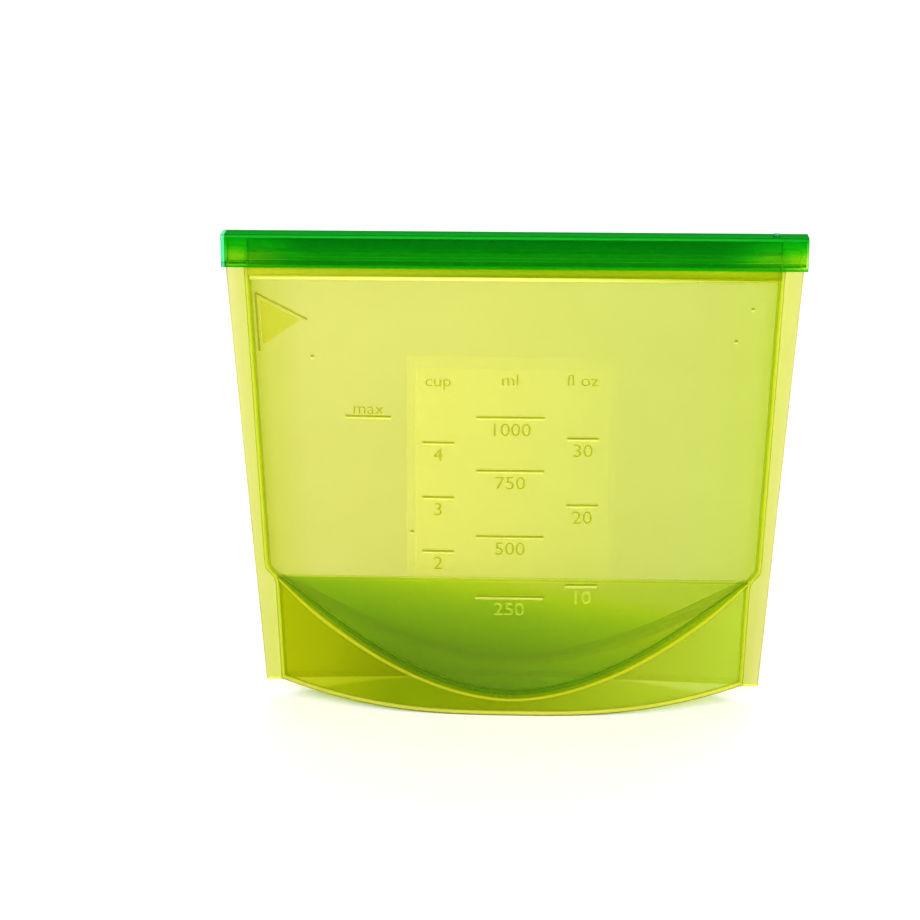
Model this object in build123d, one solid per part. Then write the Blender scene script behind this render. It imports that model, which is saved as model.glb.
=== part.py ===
"""Reusable silicone storage bag, one litre size, closed by a rigid slide-on bar.

The bag stands upright on its base rims, mouth up. X runs along the bar, -Y is the front with the
volume scale, +Z is up. The origin is on the resting plane, under the middle of the bag.
Two silicone walls are bonded along flat side seams and to a floor that folds up between them.
Above the walls two thick lips carry a bead each, and the bar's channel hooks over both beads.
"""

from build123d import *
import math
import os

# ---------------------------------------------------------------- driving dimensions, millimetres
BAR_LENGTH = 225.0
BAR_TOP = 190.0
BAR_HEIGHT = 13.0
BAR_DEPTH = 10.4
BAR_SIDE = 1.4  # thickness of the channel's front and back
BAR_ROOF = 1.6  # thickness of the channel's top
HOOK_HEIGHT = 2.4
SLOT_HALF = 1.9  # half of the slot between the two hooks
END_STOP = 1.4
STUB_FROM_END = 12.0

SIDE_BOTTOM = 6.0  # height of the lower end of the side seams
SIDE_OUT_TOP = 111.5  # outer edge of the side seam, just under the bar
SIDE_OUT_BOTTOM = 99.5
SIDE_IN_TOP = 103.0  # inner edge of the side seam, just under the bar
SIDE_IN_FOLD = 97.8  # the same just above the folded floor
SIDE_IN_STEP = 93.6  # below the fold the seam also holds the floor, and is wider
SIDE_IN_BOTTOM = 92.0
STEP_TOP = 54.5
FOLD_HEIGHT = 49.6

WALL = 1.2
WALL_GAP = 0.2  # each wall stands this far from the middle plane at the seams
WALL_TOP = 172.4
BASE_HALF_DEPTH = 20.0  # how far each wall stands from the middle plane at the base
FLARE = 1.4  # how late the walls spread: 1 is an even wedge from the lips to the base
FULLNESS = 2.5  # how square the base is from above: 2 is a parabola
CLEARANCE = 0.25

LIP_BOTTOM = 172.8
LIP_BAND = 2.2  # thickness of each lip where it shows under the bar
LIP_NECK = 1.6
BEAD_DEPTH = 3.5
BEAD_BOTTOM = 179.7
BEAD_TOP = 187.9
SEAL_RADIUS = 0.8
SEAL_HEIGHT = 183.0

RIM_HEIGHT = 2.4
RIM_PROUD = 0.6  # the base rim stands this far out of the outer face of its wall
SOLE_HALF = 15.0  # half length of the flat sole of each base rim
SOLE_RISE = 2.2  # power of the curve that lifts the rim from the sole to the seams
SOLE_TRIM = 0.1  # the rim is cut off flat this far up, which leaves a level face to stand on

FLOOR_SHEET = 0.8
LEAF_HALF_WIDTH = 88.0
FOLD_HALF_WIDTH = 93.2
FOLD_RADIUS = 1.2
SEAM_LINE_LOW = 7.7  # the floor's seam is a smile on each wall: its height in the middle
SEAM_LINE_HIGH = 50.0  # and at the side seams
SEAM_LINE_POWER = 1.8
SEAM_RIB_HALF = 1.3
SEAM_RIB_PROUD = 0.9

PLATE = (-38.0, 40.0, 38.0, 137.5)  # raised plate under the scale: left, bottom, right, top
PLATE_PROUD = 0.3
MARK_PROUD = 0.4
TICK_HEIGHT = 1.0
PIP_RADIUS = 0.8
SKIN = 0.02  # relief is kept this far off the surface it stands on

BAR_BOTTOM = BAR_TOP - BAR_HEIGHT
OUTLINE_DEPTH = 60.0  # outlines are cut through the whole depth of the bag

os.makedirs("parts", exist_ok=True)


def save(node, shape):
    """Writes one node's STEP file."""
    export_step(shape, f"parts/{node}.step")


def mirrored(shape):
    """The same piece on the back of the bag."""
    return mirror(shape, about=Plane.XZ)


# ---------------------------------------------------------------- the shape of a wall
def seam_half_width(z):
    """Distance from the middle to the inner edge of the side seam, where the bulge ends."""
    slope = (SIDE_IN_TOP - SIDE_IN_FOLD) / (BAR_BOTTOM - STEP_TOP)
    return SIDE_IN_FOLD + (z - STEP_TOP) * slope


def inner_y(x, z):
    """The front wall's inner face: fullest at the base, and shut at the lip and the seams."""
    depth = BASE_HALF_DEPTH * max(0.0, 1 - z / WALL_TOP) ** FLARE
    return -(WALL_GAP + depth * (1 - abs(x / seam_half_width(z)) ** FULLNESS))


def wall_skin():
    """The front wall's inner face as one smooth surface, a little larger than the wall."""
    rows = []
    for i in range(15):
        z = -4.0 + i * 13.0
        width = seam_half_width(z) * 1.004
        rows.append([Vector(x, inner_y(x, z), z) for x in (width * (j / 8 - 1) for j in range(17))])
    return Face.make_surface_from_array_of_points(rows, tol=1e-4)


SKIN_FACE = wall_skin()


def on_wall(outline, start, thickness):
    """A layer of the front wall: the wall's surface inside an outline in the XZ plane.

    It starts this far in front of the inner face and is this thick towards the front.
    """
    block = extrude(outline, amount=OUTLINE_DEPTH, dir=(0, -1, 0))
    patch = block.moved(Location((0, 1, 0))).intersect(SKIN_FACE)
    patch = Compound(children=list(patch)) if isinstance(patch, ShapeList) else patch
    patch = patch.faces()[0].moved(Location((0, -start, 0)))
    return extrude(patch, amount=thickness, dir=(0, -1, 0))


def outline_of(*edges):
    """A face in the XZ plane from its edges."""
    return make_face(Wire(edges))


def polygon(points):
    """A face in the XZ plane from (x, z) corners."""
    return make_face(Polyline(*((x, 0, z) for x, z in points), close=True))


def tick(left, right, z):
    """The outline of one raised tick of the scale, with its lower edge at height z."""
    return polygon([(left, z), (right, z), (right, z + TICK_HEIGHT), (left, z + TICK_HEIGHT)])


def curve(points):
    """A smooth edge in the XZ plane through (x, z) points."""
    return Spline(*((x, 0, z) for x, z in points))


def rim_line(lift):
    """The base's edge, raised by lift: a flat sole between two arms that rise to the seams."""
    run = SIDE_IN_BOTTOM - CLEARANCE - SOLE_HALF
    arm = []
    for i in range(9):
        share = i / 8
        arm.append((SOLE_HALF + run * share, lift + SIDE_BOTTOM * share**SOLE_RISE))
    left_arm = [(-x, z) for x, z in reversed(arm)]
    sole = Line((-SOLE_HALF, 0, lift), (SOLE_HALF, 0, lift))
    return [curve(left_arm), sole, curve(arm)], (arm[-1][0], 0, arm[-1][1])


def wall_outline():
    edges, (x, _, z) = rim_line(RIM_HEIGHT)
    step = SIDE_IN_STEP - CLEARANCE
    fold = SIDE_IN_FOLD - CLEARANCE
    top = seam_half_width(WALL_TOP) - CLEARANCE
    right = [(x, 0, z), (step, 0, FOLD_HEIGHT - 1), (fold, 0, STEP_TOP), (top, 0, WALL_TOP)]
    left = [(-px, 0, pz) for px, _, pz in reversed(right)]
    return outline_of(*edges, *Polyline(*right, *left).edges())


def rim_outline():
    low, low_end = rim_line(-SOLE_TRIM)
    high, high_end = rim_line(RIM_HEIGHT)
    right = Line(low_end, high_end)
    return outline_of(*low, right, *high, mirror(right, about=Plane.YZ).edge())


def seam_line_height(x):
    """Height of the seam between the floor and a wall."""
    share = abs(x / SIDE_IN_STEP) ** SEAM_LINE_POWER
    return SEAM_LINE_LOW + (SEAM_LINE_HIGH - SEAM_LINE_LOW) * share


def seam_rib_outline():
    """A band along the floor's seam."""
    end = SIDE_IN_STEP - 2 * CLEARANCE
    xs = [end * (i / 8 - 1) for i in range(17)]
    low = curve([(x, seam_line_height(x) - SEAM_RIB_HALF) for x in xs])
    high = curve([(x, seam_line_height(x) + SEAM_RIB_HALF) for x in xs])
    return outline_of(low, Line(low @ 1, high @ 1), high, Line(high @ 0, low @ 0))


# ---------------------------------------------------------------- the walls and what is on them
def make_walls():
    wall = on_wall(wall_outline(), 0, WALL)
    below_ground = Box(BAR_LENGTH, 2 * OUTLINE_DEPTH, 10).moved(Location((0, 0, -5)))
    rim = on_wall(rim_outline(), 0, WALL + RIM_PROUD) - below_ground
    rib = on_wall(seam_rib_outline(), WALL + SKIN, SEAM_RIB_PROUD)
    for name, shape in (("wall", wall), ("base_rim", rim), ("floor_seam_rib", rib)):
        save(f"front_{name}", shape)
        save(f"back_{name}", mirrored(shape))


def make_front_reliefs():
    """Everything moulded proud of the front wall: the arrow, the scale and the fill line."""
    arrow = polygon([(-100.0, 166.4), (-80.0, 156.1), (-98.9, 143.0)])
    save("slide_direction_arrow", on_wall(arrow, WALL + SKIN, 2 * MARK_PROUD))

    left, low, right, high = PLATE
    plate = polygon([(left, low), (right, low), (right, high), (left, high)])
    save("scale_plate", on_wall(plate, WALL + SKIN, PLATE_PROUD))

    scales = {
        "millilitre_scale": (-14.0, 12.6, (118.0, 97.0, 71.0, 47.2)),
        "cup_scale": (-35.2, -22.6, (107.8, 86.2, 64.8)),
        "fluid_ounce_scale": (21.4, 33.8, (110.0, 83.6, 52.0)),
    }
    on_plate = WALL + SKIN + PLATE_PROUD + SKIN
    for name, (start, end, heights) in scales.items():
        ticks = [on_wall(tick(start, end, z), on_plate, MARK_PROUD) for z in heights]
        save(name, Compound(children=ticks))

    save("max_fill_line", on_wall(tick(-65.4, -47.4, 117.4), WALL + SKIN, MARK_PROUD))


def make_pips():
    """Small round pips left by the mould's vents."""
    pips = []
    for x, z in ((-78.2, 141.1), (-39.2, 72.2), (86.2, 148.5), (92.3, 161.2)):
        outline = Plane.XZ.location * Circle(PIP_RADIUS)
        pips.append(on_wall(outline.moved(Location((x, 0, z))), WALL + SKIN, MARK_PROUD))
    save("moulding_pips", Compound(children=pips))


# ---------------------------------------------------------------- the folded floor
def floor_leaf():
    """The front half of the floor, from the fold down to the front wall's seam."""
    fold_y = FLOOR_SHEET / 2 - FOLD_RADIUS
    rows = []
    for i in range(9):
        row = []
        for j in range(15):
            x = LEAF_HALF_WIDTH * (j / 7 - 1)
            low = seam_line_height(x)
            wall_y = inner_y(x, low) + FLOOR_SHEET / 2 + 2 * CLEARANCE
            share = i / 8
            y = fold_y + (wall_y - fold_y) * share
            z = FOLD_HEIGHT + (low - FOLD_HEIGHT) * share
            row.append(Vector(x, y, z))
        rows.append(row)
    middle = Face.make_surface_from_array_of_points(rows, tol=1e-3)
    back = middle.moved(Location((0, FLOOR_SHEET / 2, 0)))
    return extrude(back, amount=FLOOR_SHEET, dir=(0, -1, 0))


def make_floor():
    """One folded sheet: two leaves that meet in a rounded fold under the bag's contents."""
    leaf = floor_leaf()
    fold = Cylinder(FOLD_RADIUS, 2 * FOLD_HALF_WIDTH, rotation=(0, 90, 0))
    save("base_floor_fold", leaf + mirrored(leaf) + fold.moved(Location((0, 0, FOLD_HEIGHT))))


# ---------------------------------------------------------------- the side seams
def make_side_seams():
    """The bonded margins of both walls, flat strips that run on up into the bar."""
    inside_bar = BAR_LENGTH / 2 - END_STOP - 0.6
    top = BAR_TOP - 5.0
    outline = [
        (SIDE_IN_BOTTOM, SIDE_BOTTOM),
        (SIDE_OUT_BOTTOM, SIDE_BOTTOM),
        (SIDE_OUT_TOP, BAR_BOTTOM - 0.4),
        (inside_bar, BAR_BOTTOM - 0.4),
        (inside_bar, top),
        (SIDE_IN_TOP, top),
        (SIDE_IN_TOP, BAR_BOTTOM),
        (SIDE_IN_FOLD, STEP_TOP),
        (SIDE_IN_STEP, FOLD_HEIGHT - 1),
    ]
    strip = extrude(polygon(outline), amount=WALL, both=True)
    save("right_side_seam", strip)
    save("left_side_seam", mirror(strip, about=Plane.YZ))


# ---------------------------------------------------------------- the lips
def lip_profile(sign):
    """Half of the mouth in the YZ plane: band, neck and bead. sign is -1 for the front."""
    points = [
        (0.02, LIP_BOTTOM),
        (LIP_BAND - 0.9, LIP_BOTTOM),
        (LIP_BAND, LIP_BOTTOM + 1.2),
        (LIP_BAND, BAR_BOTTOM - 0.3),
        (LIP_NECK, BAR_BOTTOM - 0.3),
        (LIP_NECK, BEAD_BOTTOM),
        (BEAD_DEPTH, BEAD_BOTTOM),
        (BEAD_DEPTH, BEAD_BOTTOM + 3.0),
        (LIP_NECK, BEAD_TOP),
        (0.02, BEAD_TOP),
    ]
    return make_face(Polyline(*((0, sign * y, z) for y, z in points), close=True))


def make_lips():
    """The front lip carries a round seal ridge, and the back lip a groove that it fills."""
    length = 2 * (SIDE_IN_TOP - CLEARANCE)
    front = extrude(lip_profile(-1), amount=length / 2, both=True)
    back = extrude(lip_profile(1), amount=length / 2, both=True)
    groove = Cylinder(SEAL_RADIUS + 0.1, length + 2, rotation=(0, 90, 0)).moved(Location((0, 0, SEAL_HEIGHT)))
    ridge = Cylinder(SEAL_RADIUS, length, rotation=(0, 90, 0)).moved(Location((0, 0, SEAL_HEIGHT)))
    save("front_lip", front - groove)
    save("back_lip", back - groove)
    save("seal_cord", ridge)


# ---------------------------------------------------------------- the slide bar
def make_slide_bar():
    """A hooked channel, open at the right end and shut by a stop at the left one."""
    right = BAR_LENGTH / 2
    left = -right + END_STOP
    middle = Location(((left + right) / 2, 0, (BAR_TOP + BAR_BOTTOM) / 2))
    length = right - left
    body = Box(length, BAR_DEPTH, BAR_HEIGHT).moved(middle)
    body = fillet(body.edges().filter_by(Axis.X).group_by(Axis.Z)[-1], 1.2)
    body = fillet(body.edges().filter_by(Axis.X).group_by(Axis.Z)[0], 0.6)
    cavity_low, cavity_high = BAR_BOTTOM + HOOK_HEIGHT, BAR_TOP - BAR_ROOF
    cavity_height = cavity_high - cavity_low
    cavity = Box(length + 2, BAR_DEPTH - 2 * BAR_SIDE, cavity_height)
    slot = Box(length + 2, 2 * SLOT_HALF, HOOK_HEIGHT + 2)
    channel = body - cavity.moved(Location((middle.position.X, 0, cavity_low + cavity_height / 2)))
    channel -= slot.moved(Location((middle.position.X, 0, BAR_BOTTOM + HOOK_HEIGHT / 2)))
    flare_depth = BAR_DEPTH / 2 - BAR_SIDE
    flare = make_face(
        Polyline(
            (right - 5.0, 0, 0),
            (right - 5.0, SLOT_HALF, 0),
            (right + 1.0, flare_depth, 0),
            (right + 1.0, -flare_depth, 0),
            (right - 5.0, -SLOT_HALF, 0),
            close=True,
        )
    )
    lead_in = extrude(flare.moved(Location((0, 0, BAR_BOTTOM - 1))), amount=HOOK_HEIGHT + 2)
    save("slide_bar_channel", channel - lead_in)

    stop = Box(END_STOP, BAR_DEPTH, BAR_HEIGHT)
    stop = stop.moved(Location((-right + END_STOP / 2, 0, (BAR_TOP + BAR_BOTTOM) / 2)))
    stop = fillet(stop.edges().filter_by(Axis.X).group_by(Axis.Z)[-1], 1.2)
    stop = fillet(stop.edges().filter_by(Axis.X).group_by(Axis.Z)[0], 0.6)
    save("slide_bar_end_stop", stop)

    stub = Cylinder(1.4, 0.9).moved(Location((right - STUB_FROM_END, 0, BAR_TOP + 0.45)))
    stub = fillet(stub.edges().group_by(Axis.Z)[-1], 0.4)
    save("slide_bar_gate_stub", stub)


make_walls()
make_front_reliefs()
make_pips()
make_floor()
make_side_seams()
make_lips()
make_slide_bar()
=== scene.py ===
"""Looks of the reusable silicone bag: a stand-up pouch in yellow-green translucent silicone under a
green slide bar. Sizes are in millimetres and the same as in the CAD part; meshes are made in metres.

Each wall is made in a left and a right half, which meet at its middle; on the bag the side seam stays and the
middle swings. What is moulded on a wall is laid on the same curved surface.
"""

import math

import bmesh
import bpy
from mathutils import Matrix, Vector

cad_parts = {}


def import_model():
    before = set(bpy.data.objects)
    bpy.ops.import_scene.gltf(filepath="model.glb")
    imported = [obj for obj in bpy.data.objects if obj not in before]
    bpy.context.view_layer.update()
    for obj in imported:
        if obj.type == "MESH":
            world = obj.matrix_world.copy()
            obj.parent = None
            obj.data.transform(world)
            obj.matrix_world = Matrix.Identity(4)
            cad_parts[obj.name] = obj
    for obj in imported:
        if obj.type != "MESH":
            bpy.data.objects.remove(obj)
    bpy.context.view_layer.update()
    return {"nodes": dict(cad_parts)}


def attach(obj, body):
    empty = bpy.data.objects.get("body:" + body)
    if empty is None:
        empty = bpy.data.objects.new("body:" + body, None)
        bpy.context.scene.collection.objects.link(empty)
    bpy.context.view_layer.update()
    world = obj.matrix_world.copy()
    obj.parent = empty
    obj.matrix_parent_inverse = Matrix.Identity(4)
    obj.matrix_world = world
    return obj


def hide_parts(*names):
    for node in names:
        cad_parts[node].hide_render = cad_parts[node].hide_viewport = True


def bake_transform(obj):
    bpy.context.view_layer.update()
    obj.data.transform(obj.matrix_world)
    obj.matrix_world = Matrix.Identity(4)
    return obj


MM = 0.001

# ---------------------------------------------------------------- sizes shared with the CAD part
BAR_TOP = 190.0
BAR_BOTTOM = 177.0
BAR_HALF = 112.5
SIDE_BOTTOM = 6.0
SIDE_OUT_TOP = 111.5
SIDE_OUT_BOTTOM = 99.5
SIDE_IN_TOP = 103.0
SIDE_IN_FOLD = 97.8
SIDE_IN_STEP = 93.6
SIDE_IN_BOTTOM = 92.0
STEP_TOP = 54.5
FOLD_HEIGHT = 49.6
WALL = 1.2
WALL_GAP = 0.2
WALL_TOP = 172.6  # the CAD wall ends 0.2 lower, clear of the lip
BASE_HALF_DEPTH = 20.0
FLARE = 1.4
FULLNESS = 2.5
LIP_BOTTOM = 172.8
LIP_BAND = 2.2
SOLE_HALF = 15.0
SOLE_RISE = 2.2
SEAM_LINE_LOW = 7.7
SEAM_LINE_HIGH = 50.0
SEAM_LINE_POWER = 1.8

# ---------------------------------------------------------------- sizes of the looks only
SUNK = -0.3  # what lies on a wall starts this far inside its outer face
RIM_RADIUS = 1.1
RIB_RADIUS = 2.6
RIB_FLATTENING = 0.4
RIB_TAPER = 10  # the rib thins out over this many points at the side seam
SEAM_BEAD_RADIUS = 1.3
SEAM_BEAD_FLATTENING = 1.35
SEAM_BEAD_OUT = 0.2  # the bead's middle is this far out of the side seam's inner edge
SEAM_DEEPER = 0.45  # how much the left side seam deepens towards its foot, and the right one upwards
SEAM_IN_BAR = 8.0  # height of the side seam's upper end inside the bar
SEAM_INSIDE_BAR_END = 2.2  # that end stops this far inside the bar's own end
FOLD_RADIUS = 0.9
LEAF_HALF_THICK = 0.4
LEAF_END_SHORT = 0.4  # the floor and its rib stop this far short of the side seam's step
FLOOR_SIDE_SHADE = 0.4  # painted light: how much lighter the floor gets from its middle to its right side
LIP_FADE = 28.0  # the painted green shade on the lips inside the bar deepens over this length from each end
LIP_EDGE_RADIUS = 0.75
TICK_RADIUS = 0.95
TICK_FLATTENING = 0.4
ARROW_EDGE_RADIUS = 0.5
ARROW_INSET = 0.8  # size of the arrow's face beside its outline
PLATE_LOW = 52.5  # the plate fades out down here
PLATE_TOE = 14.0  # the plate rises to its full height over this much
PLATE_FADE = 8.0  # and takes on its colour over this much
NUMBER_SIZE = 7.2
NUMBER_DROP = 4.7  # a number's middle is this far below its tick
UNIT_SIZE = 6.4
LETTER_BASE = 0.45  # height of a character's middle out of the wall
LETTER_HALF_THICK = 0.15
LETTER_WIDENING = 1.14  # the characters are this much wider than the plain font
SHARP_CORNER = math.radians(60)  # two faces that meet at more than this make a sharp edge
BEVEL_CORNER = math.radians(35)  # and in a bevelled piece, at more than this a rounded one

# ---------------------------------------------------------------- finish
GRAIN_HEIGHT = 0.03  # height of the fine grain in every surface
CLOUD_SCALE = 18  # soft clouds in the colour, in features per metre
UNEVEN = 0.15  # roughness and scattering vary this much, up and down
LET_THROUGH = 0.35  # share of the scattered light that comes out on a face's far side
LIME = (1.0, 1.0, 0.2)  # colour of the gloss on the silicone
HARD_FINISH = {"rough": 0.12, "ior": 1.45, "grain": 60}  # of the bar's plastic

# ---------------------------------------------------------------- the camera
CAMERA_TURN = 2.6  # degrees to the right of straight on
CAMERA_RISE = 16.5
CAMERA_ROLL = -0.07
CAMERA_DISTANCE = 950.0
CAMERA_TARGET = (-20.7, 0.0, 99.3)
FOCAL_LENGTH = 94.2

FRONT, BACK = -1, 1
LEFT, RIGHT = -1, 1
PANEL = {FRONT: "front_panel", BACK: "back_panel"}
FACE_NAME = {FRONT: "front", BACK: "back"}
SIDE_NAME = {LEFT: "left", RIGHT: "right"}


# ---------------------------------------------------------------- mesh helpers
def new_object(name, verts, faces, material, smooth=True, shade=None):
    """A mesh object from millimetre points. shade is one number a point, from 0 to 1, that places it
    on its material's colour stops."""
    mesh = bpy.data.meshes.new(name)
    mesh.from_pydata([[c * MM for c in v] for v in verts], [], faces)
    mesh.update()
    obj = bpy.data.objects.new(name, mesh)
    bpy.context.scene.collection.objects.link(obj)
    mesh.materials.append(material)
    mesh.polygons.foreach_set("use_smooth", [smooth] * len(mesh.polygons))
    if shade:
        layer = mesh.attributes.new("shade", "FLOAT", "POINT")
        layer.data.foreach_set("value", [max(0.0, min(1.0, value)) for value in shade])
    return obj


def grid_faces(rows, columns, first=0, flip=False):
    """Quads of a grid of points stored row by row."""
    faces = []
    for r in range(rows - 1):
        for c in range(columns - 1):
            a = first + r * columns + c
            quad = (a, a + 1, a + columns + 1, a + columns)
            faces.append(quad[::-1] if flip else quad)
    return faces


def ring_faces(rings, ring):
    """Faces of a closed skin over rings of points, stored one after the other, with a cap at each end."""
    faces = []
    for i in range(rings - 1):
        for k in range(ring):
            a, b = i * ring + k, i * ring + (k + 1) % ring
            faces.append((a, b, b + ring, a + ring))
    faces.append(tuple(range(ring)))
    faces.append(tuple((rings - 1) * ring + k for k in range(ring)))
    return faces


def tube(
    name, points, radius, material, flatten=1.0, sides=16, up=(0, 0, 1), along=False, level=None, taper=0
):
    """A closed round bead along points. flatten squeezes it along Y, and it thins out over the last
    taper points. Its shade runs from 0 to 1 across the bead, towards up, or along it, or it is level
    everywhere."""
    verts, shade = [], []
    count = len(points)
    for i, p in enumerate(points):
        here = Vector(p)
        forward = Vector(points[min(i + 1, count - 1)]) - Vector(points[max(i - 1, 0)])
        forward.normalize()
        across = forward.cross(Vector((0, 1, 0))).normalized()
        if across.dot(Vector(up)) < 0:
            across = -across
        out = forward.cross(across)
        thinning = min(1.0, 0.15 + (count - 1 - i) / taper) if taper else 1.0
        wide = radius * thinning**0.5
        for k in range(sides):
            a = 2 * math.pi * k / sides
            verts.append(here + across * (math.cos(a) * wide) + out * (math.sin(a) * wide * flatten))
            across_shade = (1 + math.cos(a)) / 2 if level is None else level
            shade.append(i / (count - 1) if along else across_shade)
    return face_outwards(new_object(name, verts, ring_faces(count, sides), material, shade=shade))


def face_outwards(obj):
    """Turns every face to look out of a closed mesh, and keeps its sharp corners sharp."""
    bm = bmesh.new()
    bm.from_mesh(obj.data)
    bmesh.ops.remove_doubles(bm, verts=bm.verts, dist=0.001 * MM)
    bmesh.ops.recalc_face_normals(bm, faces=bm.faces)
    for edge in bm.edges:
        edge.smooth = edge.calc_face_angle(0.0) < SHARP_CORNER
    bm.to_mesh(obj.data)
    bm.free()
    return obj


def bevel(obj, width, segments=3):
    """Rounds the edges of a hard-edged piece."""
    modifier = obj.modifiers.new("rounding", "BEVEL")
    modifier.width = width * MM
    modifier.segments = segments
    modifier.limit_method = "ANGLE"
    modifier.angle_limit = BEVEL_CORNER
    modifier.use_clamp_overlap = True
    return obj


# ---------------------------------------------------------------- the shape of the walls
def smooth_step(t):
    t = max(0.0, min(1.0, t))
    return t * t * (3 - 2 * t)


def seam_inner(z):
    """Half width to the side seam's inner edge at height z."""
    if z < FOLD_HEIGHT - 1:
        share = (z - SIDE_BOTTOM) / (FOLD_HEIGHT - 1 - SIDE_BOTTOM)
        return SIDE_IN_BOTTOM + (SIDE_IN_STEP - SIDE_IN_BOTTOM) * share
    slope = (SIDE_IN_TOP - SIDE_IN_FOLD) / (BAR_BOTTOM - STEP_TOP)
    above = SIDE_IN_FOLD + (z - STEP_TOP) * slope
    share = smooth_step((z - FOLD_HEIGHT + 1) / (STEP_TOP - FOLD_HEIGHT + 1))
    return SIDE_IN_STEP + (above - SIDE_IN_STEP) * share


def seam_outer(z):
    """Half width to the side seam's outer edge at height z."""
    share = (z - SIDE_BOTTOM) / (BAR_BOTTOM - SIDE_BOTTOM)
    return SIDE_OUT_BOTTOM + (SIDE_OUT_TOP - SIDE_OUT_BOTTOM) * share


def wall_depth(x, z):
    """Distance from the middle plane to a wall's inner face."""
    depth = BASE_HALF_DEPTH * max(0.0, 1 - z / WALL_TOP) ** FLARE
    across = min(1.0, abs(x) / seam_inner(z))
    return WALL_GAP + depth * (1 - across**FULLNESS)


def outer_point(face, x, z, proud=0.0):
    """A point this far out of a wall's outer face."""
    return (x, face * (wall_depth(x, z) + WALL + proud), z)


def floor_seam_height(x):
    """Height of the line where the floor joins a wall."""
    share = min(1.0, abs(x / SIDE_IN_STEP)) ** SEAM_LINE_POWER
    return SEAM_LINE_LOW + (SEAM_LINE_HIGH - SEAM_LINE_LOW) * share


def base_height(x):
    """Height of the bag's lower edge."""
    share = max(0.0, abs(x) - SOLE_HALF) / (SIDE_IN_BOTTOM - SOLE_HALF)
    return SIDE_BOTTOM * min(1.0, share) ** SOLE_RISE


def bend_with_wall(obj):
    """Bakes obj's placement into its mesh."""
    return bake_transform(obj)


# ---------------------------------------------------------------- materials
def shader_tree(name):
    """An empty node material. Returns it with its nodes, links and output."""
    material = bpy.data.materials.new(name)
    material.use_nodes = True
    nodes, links = material.node_tree.nodes, material.node_tree.links
    nodes.clear()
    return material, nodes, links, nodes.new("ShaderNodeOutputMaterial")


def noise(nodes, links, scale, detail=4.0, stretch=(1, 1, 1)):
    """Noise in the piece's own coordinates; scale is in features per metre."""
    place = nodes.new("ShaderNodeTexCoord")
    mapping = nodes.new("ShaderNodeMapping")
    mapping.inputs["Scale"].default_value = stretch
    texture = nodes.new("ShaderNodeTexNoise")
    texture.inputs["Scale"].default_value = scale
    texture.inputs["Detail"].default_value = detail
    links.new(place.outputs["Object"], mapping.inputs["Vector"])
    links.new(mapping.outputs["Vector"], texture.inputs["Vector"])
    return texture.outputs["Fac"]


def ramp(nodes, links, value, stops):
    """A colour ramp fed by value; stops are (position, colour)."""
    node = nodes.new("ShaderNodeValToRGB")
    elements = node.color_ramp.elements
    while len(elements) < len(stops):
        elements.new(0.5)
    for element, (position, colour) in zip(elements, stops):
        element.position = position
        element.color = (*colour, 1)
    links.new(value, node.inputs["Fac"])
    return node.outputs["Color"]


def span(nodes, links, value, low, high, to_low, to_high):
    """Maps value from one range to another, clamped."""
    node = nodes.new("ShaderNodeMapRange")
    for name, number in zip(("From Min", "From Max", "To Min", "To Max"), (low, high, to_low, to_high)):
        node.inputs[name].default_value = number
    links.new(value, node.inputs["Value"])
    return node.outputs["Result"]


def shade_of(nodes):
    """The mesh's own shade, from 0 to 1."""
    attribute = nodes.new("ShaderNodeAttribute")
    attribute.attribute_name = "shade"
    return attribute.outputs["Fac"]


def height_in_bar(nodes, links):
    """0 at the bar's lower edge and 1 at its top."""
    place = nodes.new("ShaderNodeTexCoord")
    split = nodes.new("ShaderNodeSeparateXYZ")
    links.new(place.outputs["Object"], split.inputs["Vector"])
    return span(nodes, links, split.outputs["Z"], BAR_BOTTOM * MM, BAR_TOP * MM, 0, 1)


def shaded(colour, factor):
    return tuple(c * factor for c in colour)


def painted(nodes, links, colour, shade, cloud):
    """A colour, or (shade, colour) stops, with a soft cloudy variation."""
    if not isinstance(colour[0], tuple):
        return ramp(nodes, links, cloud, [(0.3, shaded(colour, 0.93)), (0.7, shaded(colour, 1.05))])
    mixed = nodes.new("ShaderNodeMix")
    mixed.data_type = "RGBA"
    mixed.blend_type = "MULTIPLY"
    factor, first, second = mixed.inputs[0], mixed.inputs[6], mixed.inputs[7]
    factor.default_value = 1.0
    links.new(ramp(nodes, links, shade, colour), first)
    links.new(ramp(nodes, links, cloud, [(0.3, (0.92, 0.92, 0.92)), (0.7, (1, 1, 1))]), second)
    return mixed.outputs[2]


def fine_grain(nodes, links, grain, rough):
    """A fine uneven grain. Returns its roughness and the bent normal."""
    grain_value = noise(nodes, links, grain, 5)
    bump = nodes.new("ShaderNodeBump")
    bump.inputs["Strength"].default_value = 0.5
    bump.inputs["Distance"].default_value = GRAIN_HEIGHT * MM
    links.new(grain_value, bump.inputs["Height"])
    smoothest, roughest = rough * (1 - UNEVEN), min(1.0, rough * (1 + UNEVEN))
    rough_value = span(nodes, links, grain_value, 0.3, 0.7, smoothest, roughest)
    return rough_value, bump.outputs["Normal"]


def mixed_shader(nodes, links, factor, first, second):
    """Two shaders mixed by a number or by a node's value."""
    node = nodes.new("ShaderNodeMixShader")
    if isinstance(factor, float):
        node.inputs["Fac"].default_value = factor
    else:
        links.new(factor, node.inputs["Fac"])
    links.new(first, node.inputs[1])
    links.new(second, node.inputs[2])
    return node.outputs["Shader"]


def tinted_light(nodes, links, tint, shade):
    """Light that goes straight through a face and takes on its tint."""
    clear = nodes.new("ShaderNodeBsdfTransparent")
    if isinstance(tint[0], tuple):
        links.new(ramp(nodes, links, shade, tint), clear.inputs["Color"])
    else:
        clear.inputs["Color"].default_value = (*tint, 1)
    return clear.outputs["BSDF"]


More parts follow.
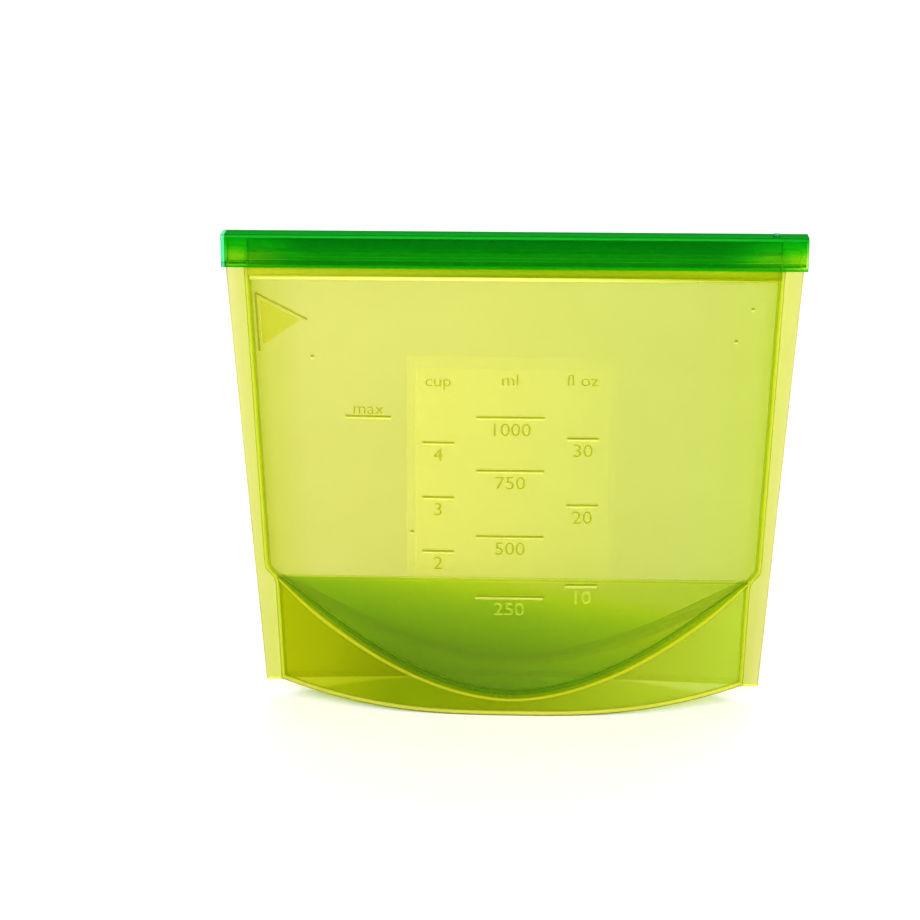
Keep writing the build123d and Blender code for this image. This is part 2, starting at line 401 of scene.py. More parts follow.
def scattered_light(nodes, links, colour, rough, normal):
    """Light that a face throws back or lets through in every direction."""
    solid = nodes.new("ShaderNodeBsdfPrincipled")
    solid.inputs["Specular IOR Level"].default_value = 0.0
    glow = nodes.new("ShaderNodeBsdfTranslucent")
    links.new(colour, solid.inputs["Base Color"])
    links.new(colour, glow.inputs["Color"])
    links.new(rough, solid.inputs["Roughness"])
    links.new(normal, solid.inputs["Normal"])
    links.new(normal, glow.inputs["Normal"])
    return mixed_shader(nodes, links, LET_THROUGH, solid.outputs["BSDF"], glow.outputs["BSDF"])


def glossy_film(nodes, links, under, gloss, rough, ior, normal):
    """A thin gloss over another shader, stronger at a glancing view."""
    shine = nodes.new("ShaderNodeBsdfGlossy")
    shine.inputs["Color"].default_value = (*gloss, 1)
    links.new(rough, shine.inputs["Roughness"])
    links.new(normal, shine.inputs["Normal"])
    fresnel = nodes.new("ShaderNodeFresnel")
    fresnel.inputs["IOR"].default_value = ior
    links.new(normal, fresnel.inputs["Normal"])
    return mixed_shader(nodes, links, fresnel.outputs["Fac"], under, shine.outputs["BSDF"])


def clear_material(name, tint, body, share, gloss=(1, 1, 1), rough=0.42, ior=1.2, grain=900, driver=None):
    """A translucent moulding: tinted light passes straight through each face, a share of the face
    scatters light in its body colour, and a thin gloss lies over both.

    tint and body are colours, or (shade, colour) stops, and share is a number or (shade, number)
    stops. driver makes the value that runs along the stops; without it they follow the mesh's shade.
    """
    material, nodes, links, output = shader_tree(name)
    cloud = noise(nodes, links, CLOUD_SCALE, 3)
    shade = driver(nodes, links) if driver else shade_of(nodes)
    rough_value, normal = fine_grain(nodes, links, grain, rough)
    if isinstance(share, float):
        least, most = share * (1 - UNEVEN), share * (1 + UNEVEN)
        share_value = span(nodes, links, cloud, 0.3, 0.7, least, most)
    else:
        grey = [(place, (value, value, value)) for place, value in share]
        share_value = painted(nodes, links, grey, shade, cloud)
    clear = tinted_light(nodes, links, tint, shade)
    body_colour = painted(nodes, links, body, shade, cloud)
    scatter = scattered_light(nodes, links, body_colour, rough_value, normal)
    moulding = mixed_shader(nodes, links, share_value, clear, scatter)
    surface = glossy_film(nodes, links, moulding, gloss, rough_value, ior, normal)
    links.new(surface, output.inputs["Surface"])
    first = body[0][1] if isinstance(body[0], tuple) else body
    material.diffuse_color = (*first, 0.6)
    return material


def wall_silicone():
    """The walls above the floor's seam. Shade 0 is at the left side seam and 1 at the right one. The tint
    carries painted light, lighter at the left and darker at the right, and painted shade at both side seams.
    """
    tint = [
        (0.0, (0.86, 0.89, 0.50)),
        (0.03, (0.91, 0.925, 0.60)),
        (0.1, (0.934, 0.940, 0.675)),
        (0.5, (0.922, 0.935, 0.65)),
        (0.85, (0.893, 0.927, 0.645)),
        (0.97, (0.885, 0.925, 0.60)),
        (1.0, (0.85, 0.91, 0.50)),
    ]
    return clear_material("frosted_silicone", tint, (0.38, 0.365, 0.035), 0.10, LIME)


def skirt_silicone():
    """The walls below the floor's seam, from left to right: painted shade left of the middle, where the
    shadowed ground shows through, and painted light towards the right.
    """
    tint = [
        (0.0, (0.90, 0.93, 0.2)),
        (0.1, (0.88, 0.92, 0.2)),
        (0.24, (0.75, 0.83, 0.1)),
        (0.5, (0.80, 0.86, 0.2)),
        (1.0, (0.99, 1.0, 0.6)),
    ]
    body = [
        (0.0, (0.42, 0.45, 0.0)),
        (0.24, (0.33, 0.36, 0.0)),
        (0.5, (0.33, 0.34, 0.0)),
        (1.0, (0.43, 0.58, 0.05)),
    ]
    return clear_material("frosted_silicone_skirt", tint, body, 0.34, LIME)


def floor_silicone():
    """The folded floor, from its seam up to the fold: darker and greener down towards its seam, a painted
    shade where the leaves part, and lighter to the right, a painted light.
    """
    tint = [
        (0.0, (0.35, 0.70, 0.0)),
        (0.3, (0.6, 0.90, 0.0)),
        (0.6, (0.77, 0.96, 0.02)),
        (0.8, (0.87, 0.98, 0.2)),
        (1.0, (0.94, 0.98, 0.75)),
    ]
    body = [
        (0.0, (0.02, 0.27, 0.0)),
        (0.3, (0.13, 0.36, 0.0)),
        (0.6, (0.31, 0.46, 0.0)),
        (1.0, (0.5, 0.6, 0.1)),
    ]
    share = [(0.0, 0.35), (0.35, 0.32), (0.6, 0.25), (0.8, 0.12), (1.0, 0.06)]
    return clear_material("floor_silicone", tint, body, share, LIME)


def side_seam_silicone():
    """The flat side seams, from their inner edge to their outer one. The grey at the outer edge is a painted
    shade in place of the edge's refraction.
    """
    tint = [
        (0.0, (0.88, 0.91, 0.48)),
        (0.25, (0.85, 0.875, 0.40)),
        (0.5, (0.86, 0.87, 0.46)),
        (0.9, (0.91, 0.90, 0.53)),
        (1.0, (0.72, 0.72, 0.66)),
    ]
    return clear_material("seam_silicone", tint, (0.36, 0.35, 0.06), 0.10, LIME)


def side_seam_in_bar_silicone():
    """The upper ends of the side seams, which show through the bar. Their inner part is painted deep green, a
    painted shade inside the bar.
    """
    tint = [
        (0.0, (0.5, 0.85, 0.1)),
        (0.3, (0.95, 0.97, 0.3)),
        (1.0, (0.98, 0.98, 0.7)),
    ]
    return clear_material("seam_silicone_in_bar", tint, (0.5, 0.6, 0.0), 0.08, LIME)


def seam_bead_silicone():
    """The bead along a side seam's inner edge, from inside to outside: a dark green band of painted shade and
    a bright band of painted highlight, in place of refraction.
    """
    tint = [
        (0.0, (0.98, 0.99, 0.8)),
        (0.3, (0.93, 0.96, 0.4)),
        (0.5, (0.86, 0.93, 0.25)),
        (0.7, (0.95, 0.97, 0.5)),
        (1.0, (0.99, 0.99, 0.85)),
    ]
    body = [
        (0.0, (0.5, 0.6, 0.05)),
        (0.4, (0.36, 0.52, 0.0)),
        (0.7, (0.85, 0.92, 0.10)),
        (1.0, (0.9, 0.9, 0.25)),
    ]
    share = [(0.0, 0.02), (0.4, 0.22), (0.6, 0.25), (1.0, 0.03)]
    return clear_material("seam_line_silicone", tint, body, share, LIME)


def floor_seam_silicone():
    """The rib where the floor joins a wall: a painted highlight below and a dark green painted shade above.
    """
    tint = [
        (0.0, (0.9, 0.9, 0.3)),
        (0.35, (0.88, 0.92, 0.3)),
        (0.7, (0.82, 0.92, 0.25)),
        (0.85, (0.72, 0.88, 0.18)),
        (1.0, (0.95, 0.98, 0.75)),
    ]
    body = [
        (0.0, (0.75, 0.75, 0.03)),
        (0.28, (0.75, 0.75, 0.03)),
        (0.4, (0.35, 0.46, 0.0)),
        (0.85, (0.10, 0.24, 0.0)),
    ]
    share = [(0.0, 0.4), (0.15, 0.65), (0.28, 0.65), (0.4, 0.18), (0.7, 0.18), (0.85, 0.36), (1.0, 0.03)]
    return clear_material("floor_seam_silicone", tint, body, share, LIME)


def rim_silicone():
    """The base rim: painted shade on its underside and a painted highlight on its face. The back one is level
    at shade 1.
    """
    tint = [
        (0.0, (0.6, 0.6, 0.1)),
        (0.2, (0.7, 0.7, 0.2)),
        (0.3, (0.9, 0.9, 0.35)),
        (0.9, (0.9, 0.9, 0.35)),
        (1.0, (0.94, 0.96, 0.6)),
    ]
    body = [
        (0.0, (0.10, 0.10, 0.0)),
        (0.2, (0.14, 0.14, 0.01)),
        (0.32, (0.95, 0.95, 0.06)),
        (0.7, (1.0, 0.98, 0.14)),
        (1.0, (0.9, 0.95, 0.05)),
    ]
    share = [(0.0, 0.7), (0.2, 0.65), (0.32, 0.6), (0.7, 0.6), (0.9, 0.3), (1.0, 0.08)]
    return clear_material("base_rim_silicone", tint, body, share, LIME)


def lip_silicone():
    """The lips. Up to shade 0.4 it is the band under the bar, from left to right. From 0.5 on it is the part
    inside the bar, from its ends to its middle, painted deep green as a painted shade inside the bar that the
    real lips don't have."""
    tint = [
        (0.0, (0.88, 0.88, 0.25)),
        (0.2, (0.75, 0.86, 0.15)),
        (0.4, (0.80, 0.87, 0.2)),
        (0.5, (0.92, 0.97, 0.5)),
        (0.8, (0.3, 0.85, 0.1)),
        (1.0, (0.12, 0.76, 0.05)),
    ]
    body = [
        (0.0, (0.85, 0.83, 0.05)),
        (0.2, (0.46, 0.56, 0.0)),
        (0.4, (0.46, 0.58, 0.0)),
        (0.5, (0.1, 0.5, 0.0)),
        (1.0, (0.0, 0.2, 0.0)),
    ]
    share = [(0.4, 0.3), (0.5, 0.08), (1.0, 0.3)]
    return clear_material("lip_silicone", tint, body, share, LIME)


def lip_highlight_silicone():
    """A painted highlight along the lower edge of a lip, which fades out towards the right."""
    body = [
        (0.0, (0.95, 0.95, 0.25)),
        (0.5, (1.0, 1.0, 0.22)),
        (1.0, (0.7, 0.74, 0.05)),
    ]
    share = [(0.0, 0.5), (0.4, 0.95), (0.7, 0.8), (0.95, 0.0)]
    return clear_material("lip_painted_highlight_silicone", (0.95, 0.95, 0.5), body, share, LIME)


def mark_silicone():
    """Letters and numbers on the wall."""
    return clear_material("mark_silicone", (0.87, 0.88, 0.40), (0.50, 0.54, 0.04), 0.26, LIME)


def low_mark_silicone():
    """Numbers in front of the darker floor."""
    return clear_material("low_mark_silicone", (0.97, 0.98, 0.7), (0.9, 1.0, 0.2), 0.14, LIME)


def tick_silicone():
    """Ticks and pips: painted shade on top and a painted highlight below."""
    tint = [
        (0.5, (0.98, 0.98, 0.8)),
        (0.6, (0.88, 0.90, 0.40)),
    ]
    body = [
        (0.5, (1.0, 1.0, 0.35)),
        (0.6, (0.28, 0.31, 0.02)),
    ]
    share = [(0.0, 0.2), (0.4, 0.36), (0.5, 0.34), (0.6, 0.34), (1.0, 0.3)]
    return clear_material("raised_line_silicone", tint, body, share, LIME)


def arrow_silicone():
    """The face of the arrow."""
    return clear_material("arrow_silicone", (0.975, 0.97, 0.62), (0.5, 0.5, 0.02), 0.06, LIME)


def arrow_edge_shade_silicone():
    """The line of painted shade along two edges of the arrow."""
    return clear_material("arrow_edge_shade_silicone", (0.88, 0.89, 0.45), (0.35, 0.38, 0.03), 0.25, LIME)


def plate_silicone():
    """The plate behind the scales, which is brightest at its left."""
    tint = [
        (0.0, (1.0, 1.0, 1.0)),
        (1.0, (0.995, 0.995, 0.97)),
    ]
    share = [(0.0, 0.0), (0.5, 0.025), (1.0, 0.07)]
    return clear_material("plate_silicone", tint, (0.95, 0.93, 0.25), share, LIME)


def bar_plastic():
    """The bar. The stops run from its lower edge to its top, and paint highlights along its lower edge and
    its top front edge, and painted shade on its top face.
    """
    tint = [
        (0.0, (0.4, 0.92, 0.1)),
        (0.12, (0.82, 0.95, 0.3)),
        (0.4, (0.74, 0.94, 0.3)),
        (0.55, (0.4, 0.88, 0.1)),
        (0.9, (0.1, 0.75, 0.05)),
    ]
    body = [
        (0.0, (0.01, 0.62, 0.0)),
        (0.08, (0.0, 0.32, 0.0)),
        (0.88, (0.0, 0.32, 0.0)),
        (0.93, (0.01, 0.5, 0.02)),
        (0.97, (0.01, 0.5, 0.02)),
        (0.985, (0.002, 0.17, 0.01)),
    ]
    share = [(0.0, 0.6), (0.05, 0.5), (0.09, 0.13), (0.88, 0.13), (0.92, 0.7), (0.97, 0.7), (0.985, 0.85)]
    gloss = (0.02, 0.6, 0.05)
    return clear_material("green_bar_plastic", tint, body, share, gloss, **HARD_FINISH, driver=height_in_bar)


def bar_end_plastic():
    """The end stop and the gate stub, in a lighter teal that is a painted highlight where their edges catch
    the light.
    """
    tint, body, gloss = (0.5, 0.97, 0.7), (0.08, 0.7, 0.35), (0.5, 1.0, 0.7)
    return clear_material("green_bar_end_plastic", tint, body, 0.35, gloss, **HARD_FINISH)


def make_materials():
    """Every material of the bag, by a short name."""
    return {
        "wall": wall_silicone(),
        "skirt": skirt_silicone(),
        "floor": floor_silicone(),
        "seam": side_seam_silicone(),
        "seam_in_bar": side_seam_in_bar_silicone(),
        "seam_line": seam_bead_silicone(),
        "floor_seam": floor_seam_silicone(),
        "rim": rim_silicone(),
        "lip": lip_silicone(),
        # the painted highlight along the lips' lower edges
        "lip_line": lip_highlight_silicone(),
        "mark": mark_silicone(),
        "mark_on_floor": low_mark_silicone(),
        "line": tick_silicone(),
        "arrow": arrow_silicone(),
        "outline": arrow_edge_shade_silicone(),
        "plate": plate_silicone(),
        "bar": bar_plastic(),
        "bar_end": bar_end_plastic(),
    }


# ---------------------------------------------------------------- the walls
def wall_row_height(across, r, skirt_rows, rows):
    """Height of row r where it is this share of the way to the side seam. The rows below the floor's
    seam fill the skirt. Half width depends on height, so the height is found in a few steps."""
    z = base_height(across * SIDE_IN_BOTTOM)
    for _ in range(6):
        x = across * seam_inner(z)
        low, seam = base_height(x), floor_seam_height(x)
        if r <= skirt_rows:
            z = low + (seam - low) * r / skirt_rows
        else:
            z = seam + (WALL_TOP - seam) * (r - skirt_rows) / (rows - 1 - skirt_rows)
    return z


def wall_half(face, side, materials):
    """Half of a wall, as a closed sheet that is open only where it meets the other half."""
    columns, skirt_rows, rows = 41, 9, 61
    outer, inner = [], []
    for r in range(rows):
        for c in range(columns):
            across = c / (columns - 1)
            z = wall_row_height(across, r, skirt_rows, rows)
            x = side * across * seam_inner(z)
            thin = WALL / 2 if c == columns - 1 else 0
            outer.append(outer_point(face, x, z, -thin))
            inner.append(outer_point(face, x, z, thin - WALL))
    total = len(outer)
    # shade runs across the half; the wall's painted light and painted shade follow it
    shade = [0.5 + side * 0.5 * (i % columns) / (columns - 1) for i in range(total)]
    faces = grid_faces(rows, columns) + grid_faces(rows, columns, total, flip=True)
    low = list(range(columns))
    high = [(rows - 1) * columns + c for c in range(columns)]
    for edge in (low, high):
        for a, b in zip(edge, edge[1:]):
            faces.append((a, b, b + total, a + total))
    name = f"{FACE_NAME[face]}_wall_{SIDE_NAME[side]}"
    obj = new_object(name, outer + inner, faces, materials["wall"], shade=shade * 2)
    obj.data.materials.append(materials["skirt"])
    for polygon in obj.data.polygons:
        r = min((v % total) // columns for v in polygon.vertices)
        polygon.material_index = 1 if r < skirt_rows else 0
    face_outwards(obj)
    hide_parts(f"{FACE_NAME[face]}_wall")
    return bend_with_wall(obj)


def half_line(side, last, count, height, face, proud):
    """Points along a line on a wall from the middle to the side seam."""
    points = []
    for i in range(count):
        x = side * last * i / (count - 1)
        points.append(outer_point(face, x, height(x), proud))
    return points


def wall_edges(face, side, materials):
    """The base rim and the floor's seam rib on half of a wall. The back ones are evenly pale, so
    that they don't show through the front."""
    tag = f"{FACE_NAME[face]}_{{}}_{SIDE_NAME[side]}"
    rim_line = half_line(side, SIDE_IN_BOTTOM, 49, lambda x: base_height(x) + RIM_RADIUS, face, SUNK)
    rib_line = half_line(side, SIDE_IN_STEP - LEAF_END_SHORT, 49, floor_seam_height, face, SUNK)
    # the front rim and rib carry painted shade and painted highlight across them; the back ones are level
    rim_level, rib_level = (None, None) if face == FRONT else (1.0, 0.95)
    rim = tube(tag.format("base_rim"), rim_line, RIM_RADIUS, materials["rim"], level=rim_level)
    rib = tube(
        tag.format("floor_seam_rib"),
        rib_line,
        RIB_RADIUS,
        materials["floor_seam"],
        RIB_FLATTENING,
        24,
        level=rib_level,
        taper=RIB_TAPER,
    )
    for obj, node in ((rim, "base_rim"), (rib, "floor_seam_rib")):
        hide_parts(f"{FACE_NAME[face]}_{node}")
        bend_with_wall(obj)


# ---------------------------------------------------------------- the folded floor
def floor_leaf(face, materials):
    """One side of the folded floor, from the fold to its seam on the wall."""
    columns, rows, half = 81, 15, SIDE_IN_STEP - LEAF_END_SHORT
    top, under, shade = [], [], []
    for r in range(rows):
        share = r / (rows - 1)
        for c in range(columns):
            x = half * (2 * c / (columns - 1) - 1)
            low = floor_seam_height(x)
            z = FOLD_HEIGHT + (low - FOLD_HEIGHT) * share
            y = LEAF_HALF_THICK + (wall_depth(x, low) - SUNK - LEAF_HALF_THICK) * share
            top.append((x, face * (y + LEAF_HALF_THICK), z))
            under.append((x, face * max(0.02, y - LEAF_HALF_THICK), z))
            # the floor's painted shade deepens down towards its seam, and its painted light grows to the
            # right
            climb = (z - SEAM_LINE_LOW) / (FOLD_HEIGHT - SEAM_LINE_LOW)
            shade.append(climb + FLOOR_SIDE_SHADE * x / half)
    total = len(top)
    faces = grid_faces(rows, columns) + grid_faces(rows, columns, total, flip=True)
    loop = [(rows - 1) * columns + c for c in range(columns)]
    for a, b in zip(loop, loop[1:]):
        faces.append((a, b, b + total, a + total))
    obj = new_object(f"floor_leaf_{FACE_NAME[face]}", top + under, faces, materials["floor"], shade=shade * 2)
    face_outwards(obj)
    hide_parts("base_floor_fold")
    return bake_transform(obj)


def floor_fold(materials):
    """The rounded crease at the top of the folded floor."""
    half = SIDE_IN_STEP + 0.6
    points = [(half * (i / 20 - 1), 0, FOLD_HEIGHT) for i in range(41)]
    obj = tube("floor_fold", points, FOLD_RADIUS, materials["floor"], level=1.0)
    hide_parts("base_floor_fold")
    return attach(obj, "bag")


# ---------------------------------------------------------------- side seams and lips
def side_seam(side, materials):
    """The flat bonded margin with its rounded outer edge, and the bead along its inner edge."""
    profile = [(0.0, 0.3), (0.05, 0.8), (0.12, 1.0), (0.5, 0.98), (0.85, 0.95), (0.94, 0.75), (0.99, 0.35)]
    length = BAR_BOTTOM + SEAM_IN_BAR - SIDE_BOTTOM
    heights = [SIDE_BOTTOM + length * i / 60 for i in range(61)]
    verts, shade = [], []
    for z in heights:
        outer = seam_outer(z) if z < BAR_BOTTOM - 0.2 else BAR_HALF - SEAM_INSIDE_BAR_END
        inner = seam_inner(min(z, BAR_BOTTOM))
        front = [(inner + (outer - inner) * s, -WALL * t) for s, t in profile]
        back = [(x, -y) for x, y in reversed(front)]
        verts += [(side * x, y, z) for x, y in front + back]
        climb = (z - SIDE_BOTTOM) / (BAR_BOTTOM - SIDE_BOTTOM)
        darker = SEAM_DEEPER * (climb if side == RIGHT else 1 - climb)
        shade += [s * (1 - darker) for s, _ in profile + profile[::-1]]
    faces = ring_faces(len(heights), 2 * len(profile))
    strip = new_object(f"{SIDE_NAME[side]}_seam_strip", verts, faces, materials["seam"], shade=shade)
    strip.data.materials.append(materials["seam_in_bar"])
    for polygon in strip.data.polygons:
        polygon.material_index = 1 if polygon.center.z > BAR_BOTTOM * MM else 0
    face_outwards(strip)
    line = [(side * (seam_inner(z) + SEAM_BEAD_OUT), 0, z) for z in heights if z < BAR_BOTTOM + 0.5]
    bead = tube(
        f"{SIDE_NAME[side]}_seam_bead",
        line,
        SEAM_BEAD_RADIUS,
        materials["seam_line"],
        SEAM_BEAD_FLATTENING,
        up=(side, 0, 0),
    )
    for obj in (strip, bead):
        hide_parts(f"{SIDE_NAME[side]}_side_seam")
        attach(obj, "bag")


def lip(face, materials):
    """Half of the mouth: the band under the bar, the neck and the bead inside the bar."""
    profile = [
        (0.03, LIP_BOTTOM - 0.2),
        (LIP_BAND - 0.8, LIP_BOTTOM - 0.2),
        (LIP_BAND - 0.15, LIP_BOTTOM + 0.4),
        (LIP_BAND, LIP_BOTTOM + 1.2),
        (LIP_BAND, BAR_BOTTOM - 0.8),
        (LIP_BAND - 0.5, BAR_BOTTOM - 0.3),
        (1.6, BAR_BOTTOM + 0.2),
        (1.6, BAR_BOTTOM + 2.7),
        (3.3, BAR_BOTTOM + 2.8),
        (3.5, BAR_BOTTOM + 3.2),
        (3.5, BAR_BOTTOM + 5.7),
        (2.0, BAR_TOP - 2.3),
        (0.03, BAR_TOP - 2.1),
    ]
    half = SIDE_IN_TOP - 0.1
    stations = [half * (i / 24 - 1) for i in range(49)]
    verts = [(x, face * y, z) for x in stations for y, z in profile]
    shade = []
    for x in stations:
        # inside the bar the painted shade deepens from the ends inwards
        depth = smooth_step((half - abs(x)) / LIP_FADE)
        shade += [0.5 + 0.5 * depth if z > BAR_BOTTOM else 0.2 + 0.2 * x / half for _, z in profile]
    faces = ring_faces(len(stations), len(profile))
    obj = new_object(f"{FACE_NAME[face]}_lip_band", verts, faces, materials["lip"], False, shade)
    face_outwards(obj)
    bevel(obj, 0.25, 2)
    # a painted highlight along the lip's lower edge
    edge = [(x * 0.99, face * (LIP_BAND + 0.1), LIP_BOTTOM - 0.2) for x in stations]
    line = tube(f"{FACE_NAME[face]}_lip_edge", edge, LIP_EDGE_RADIUS, materials["lip_line"], along=True)
    for piece in (obj, line):
        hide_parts(f"{FACE_NAME[face]}_lip")
        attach(piece, "bag")


# ---------------------------------------------------------------- what is moulded on the front
def laid_on_wall(obj, base):
    """Bends a flat piece onto the front wall. Its X and Z are kept, and its Y is measured from a
    surface that lies base out of the wall's outer face."""
    for vertex in obj.data.vertices:
        x, y, z = (c / MM for c in vertex.co)
        vertex.co = Vector(outer_point(FRONT, x, z, base - y)) * MM
    obj.data.update()
    return obj


def slab(name, outline, low, high, material, rounding):
    """A flat piece with this (x, z) outline, from low to high out of the wall."""
    ring = len(outline)
    verts = [(x, -low, z) for x, z in outline] + [(x, -high, z) for x, z in outline]
    faces = [tuple(range(ring)), tuple(range(ring, 2 * ring))]
    faces += [(k, (k + 1) % ring, ring + (k + 1) % ring, ring + k) for k in range(ring)]
    return bevel(face_outwards(new_object(name, verts, faces, material, smooth=False)), rounding)


def raised_line(name, left, right, z, proud, material):
    """A low rounded ridge on the front wall, level with z."""
    points = [outer_point(FRONT, left + (right - left) * i / 8, z, proud) for i in range(9)]
    return tube(name, points, TICK_RADIUS, material, TICK_FLATTENING)


def plate_layer(name, left, low, right, high, proud, material):
    """A thin raised layer that follows the wall all over. It starts level with the wall at its lower
    edge, and its colour is strongest at its left."""
    columns, rows = 33, 41
    verts, shade = [], []
    for depth in (proud, SUNK):
        for r in range(rows):
            for c in range(columns):
                x = left + (right - left) * c / (columns - 1)
                z = low + (high - low) * r / (rows - 1)
                rise = smooth_step((z - low) / PLATE_TOE)
                verts.append(outer_point(FRONT, x, z, SUNK + (depth - SUNK) * rise))
                shade.append(smooth_step((z - low) / PLATE_FADE) * (1 - 0.8 * c / (columns - 1)))
    total = rows * columns
    faces = grid_faces(rows, columns) + grid_faces(rows, columns, total, flip=True)
    border = list(range(columns))
    border += [r * columns + columns - 1 for r in range(1, rows)]
    border += [(rows - 1) * columns + c for c in range(columns - 2, -1, -1)]
    border += [r * columns for r in range(rows - 2, 0, -1)]
    for a, b in zip(border, border[1:] + border[:1]):
        faces.append((a, b, b + total, a + total))
    obj = face_outwards(new_object(name, verts, faces, material, shade=shade))
    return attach(obj, PANEL[FRONT])


def lettering(name, text, x, z, size, material):
    """Raised characters centred on (x, z)."""
    curve = bpy.data.curves.new(name, "FONT")
    curve.body = text
    curve.size = size * MM
    curve.align_x = "CENTER"
    curve.align_y = "CENTER"
    curve.extrude = LETTER_HALF_THICK * MM
    curve.resolution_u = 3
    obj = bpy.data.objects.new(name, curve)
    bpy.context.scene.collection.objects.link(obj)
    bpy.context.view_layer.update()
    evaluated = obj.evaluated_get(bpy.context.evaluated_depsgraph_get())
    mesh = bpy.data.meshes.new_from_object(evaluated)
    bpy.data.objects.remove(obj)
    upright = Matrix.Rotation(math.pi / 2, 4, "X") @ Matrix.Diagonal((LETTER_WIDENING, 1, 1, 1))
    mesh.transform(Matrix.Translation((x * MM, 0, z * MM)) @ upright)
    mesh.materials.clear()
    mesh.materials.append(material)
    made = bpy.data.objects.new(name, mesh)
    bpy.context.scene.collection.objects.link(made)
    return laid_on_wall(made, LETTER_BASE)


def scale(materials):
    """The plate with its three scales: ticks, numbers and a unit each."""
    outer = plate_layer("scale_plate_border", -41.3, PLATE_LOW, 40.8, 142.2, 0.12, materials["plate"])
    inner = plate_layer("scale_plate_face", -38.0, PLATE_LOW, 38.0, 137.5, 0.35, materials["plate"])
    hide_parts("scale_plate")
    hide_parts("scale_plate")
    # unit and its place, the ticks' left and right ends, then each tick's height and number
    groups = {
        "millilitre_scale": (
            ("ml", -0.9, 132.9),
            (-14.0, 12.6),
            ((118.0, "1000"), (97.0, "750"), (71.0, "500"), (47.2, "250")),
        ),
        "cup_scale": (
            ("cup", -29.0, 132.3),
            (-35.2, -22.6),
            ((107.8, "4"), (86.2, "3"), (64.8, "2")),
        ),
        "fluid_ounce_scale": (
            ("fl oz", 27.2, 133.0),
            (21.4, 33.8),
            ((110.0, "30"), (83.6, "20"), (52.0, "10")),
        ),
    }
    for node, (unit, (left, right), marks) in groups.items():
        pieces = [lettering(f"{node}_unit", *unit, UNIT_SIZE, materials["mark"])]
        for i, (z, number) in enumerate(marks):
            middle = (left + right) / 2
            mark = materials["mark" if z > STEP_TOP else "mark_on_floor"]
            place = z - NUMBER_DROP
            pieces.append(lettering(f"{node}_number_{i}", number, middle, place, NUMBER_SIZE, mark))
            pieces.append(raised_line(f"{node}_tick_{i}", left, right, z, 0.35, materials["line"]))
        for piece in pieces:
            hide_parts(node)
            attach(piece, PANEL[FRONT])


def fill_line(materials):
    """The word and the line that say how full the bag may be."""
    word = lettering("max_fill_word", "max", -56.4, 121.0, UNIT_SIZE, materials["mark"])
    line = raised_line("max_fill_tick", -65.4, -47.4, 117.6, 0, materials["line"])
    for piece in (word, line):
        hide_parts("max_fill_line")
        bend_with_wall(piece)


def arrow(materials):
    """The raised triangle that shows which way the bar goes on, with a line of painted shade along two of its
    edges.
    """
    tip, high, low = Vector((-80.0, 156.1)), Vector((-100.0, 166.4)), Vector((-98.9, 143.0))
    middle = (tip + high + low) / 3
    inset = [middle + (corner - middle) * ARROW_INSET for corner in (tip, high, low)]
    pieces = [laid_on_wall(slab("arrow_face", inset, 0, 0.5, materials["arrow"], 0.2), 0)]
    for name, first, last in (("arrow_upper_edge", high, tip), ("arrow_left_edge", low, high)):
        edge = [first.lerp(last, i / 8) for i in range(9)]
        line = [outer_point(FRONT, p.x, p.y, 0.1) for p in edge]
        pieces.append(tube(name, line, ARROW_EDGE_RADIUS, materials["outline"], up=(1, 0, 0.3)))
    for piece in pieces:
        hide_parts("slide_direction_arrow")
        bend_with_wall(piece)


def pips(materials):
    """Small round pips left by the mould's vents."""
    for i, (x, z) in enumerate(((-78.2, 141.1), (-39.2, 72.2), (86.2, 148.5), (92.3, 161.2))):
        pip = raised_line(f"moulding_pip_{i}", x - 0.7, x + 0.7, z, 0, materials["line"])
        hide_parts("moulding_pips")
        bend_with_wall(pip)


# ---------------------------------------------------------------- the parts kept from the CAD model
def paint_cad_nodes(frame, materials):
    """The bar keeps its CAD shape, and so does the cord between the lips."""
    chosen = {
        "slide_bar_channel": "bar",
        "slide_bar_end_stop": "bar_end",
        "slide_bar_gate_stub": "bar_end",
        "seal_cord": "lip",
    }
    for node, key in chosen.items():
        obj = frame["nodes"][node]
        obj.data.materials.clear()
        obj.data.materials.append(materials[key])


# ---------------------------------------------------------------- the room
def make_floor_and_backdrop():
    """One pale sheet that runs under the bag and up behind it."""
    material, nodes, links, output = shader_tree("pale_paper")
    paper = nodes.new("ShaderNodeBsdfPrincipled")
    fibre = noise(nodes, links, 400, 6)
    whites = [(0.3, (0.93, 0.93, 0.93)), (0.7, (0.96, 0.96, 0.96))]
    links.new(ramp(nodes, links, fibre, whites), paper.inputs["Base Color"])
    paper.inputs["Roughness"].default_value = 0.9
    links.new(paper.outputs["BSDF"], output.inputs["Surface"])
    near, bend_start, bend, top, half_width = -3000, 1200, 900, 4000, 4000
    profile = [(near, 0), (bend_start, 0)]
    for step in range(1, 13):
        a = step * math.pi / 24
        profile.append((bend_start + bend * math.sin(a), bend - bend * math.cos(a)))
    profile.append((bend_start + bend, top))
    verts = [(x, y, z) for y, z in profile for x in (-half_width, half_width)]
    sheet = new_object("paper_sheet", verts, grid_faces(len(profile), 2), material)


def area_light(name, place, aim, size, watts):
    data = bpy.data.lights.new(name, "AREA")
    data.shape = "RECTANGLE"
    data.size, data.size_y = size
    data.energy = watts
    obj = bpy.data.objects.new(name, data)
    bpy.context.scene.collection.objects.link(obj)
    obj.location = place
    obj.rotation_mode = "QUATERNION"
    obj.rotation_quaternion = (Vector(aim) - Vector(place)).to_track_quat("-Z", "Y")


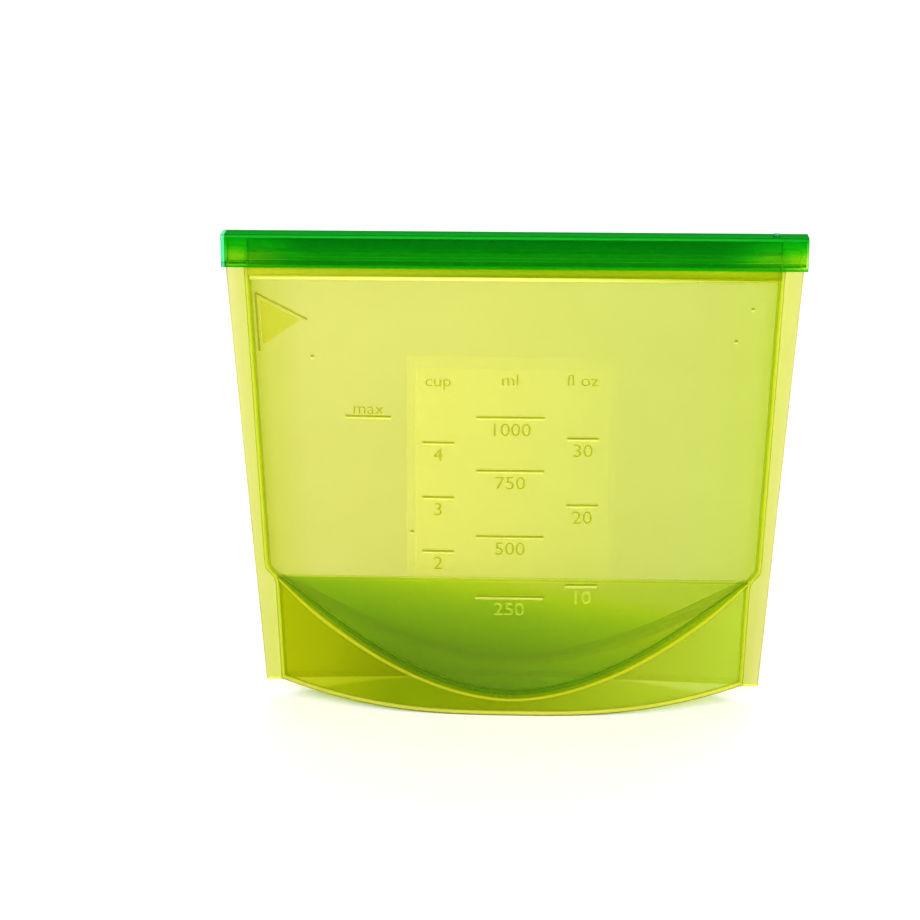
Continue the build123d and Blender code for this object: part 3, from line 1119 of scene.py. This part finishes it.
def make_lights():
    area_light("front_softbox", (0.1, -1.6, 0.6), (0, 0, 0.1), (1.4, 0.8), 22)
    area_light("key_softbox", (-0.8, -1.0, 1.3), (0, 0, 0.1), (1.0, 1.0), 9)
    area_light("fill_softbox", (1.2, -0.9, 0.9), (0, 0, 0.1), (1.0, 1.0), 5)
    area_light("back_softbox", (0.1, 1.1, 1.3), (0, 0, 0.05), (1.6, 0.9), 12.5)
    world = bpy.data.worlds.new("studio")
    world.use_nodes = True
    background = world.node_tree.nodes["Background"]
    background.inputs["Color"].default_value = (1, 1, 1, 1)
    background.inputs["Strength"].default_value = 0.55
    bpy.context.scene.world = world


def make_camera():
    """The camera stands a little above the bag and a little to its right, and leans slightly."""
    turn, rise, roll = (math.radians(a) for a in (CAMERA_TURN, CAMERA_RISE, CAMERA_ROLL))
    back = Vector((math.sin(turn) * math.cos(rise), -math.cos(turn) * math.cos(rise), math.sin(rise)))
    right = (-back).cross(Vector((0, 0, 1))).normalized()
    up = right.cross(-back)
    leaning_right = right * math.cos(roll) + up * math.sin(roll)
    leaning_up = up * math.cos(roll) - right * math.sin(roll)
    data = bpy.data.cameras.new("camera")
    data.lens = FOCAL_LENGTH
    data.sensor_width = 36
    data.clip_start, data.clip_end = 0.05, 20
    camera = bpy.data.objects.new("camera", data)
    bpy.context.scene.collection.objects.link(camera)
    axes = Matrix((leaning_right, leaning_up, back)).transposed().to_4x4()
    place = (Vector(CAMERA_TARGET) + back * CAMERA_DISTANCE) * MM
    camera.matrix_world = Matrix.Translation(place) @ axes
    bpy.context.scene.camera = camera


def set_colours():
    scene = bpy.context.scene
    scene.view_settings.view_transform = "Standard"
    scene.cycles.transparent_max_bounces = 32


def main():
    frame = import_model()
    materials = make_materials()
    for face in (FRONT, BACK):
        for side in (LEFT, RIGHT):
            wall_half(face, side, materials)
            wall_edges(face, side, materials)
        floor_leaf(face, materials)
        lip(face, materials)
    floor_fold(materials)
    for side in (LEFT, RIGHT):
        side_seam(side, materials)
    scale(materials)
    fill_line(materials)
    arrow(materials)
    pips(materials)
    paint_cad_nodes(frame, materials)
    make_floor_and_backdrop()
    make_lights()
    make_camera()
    set_colours()


main()
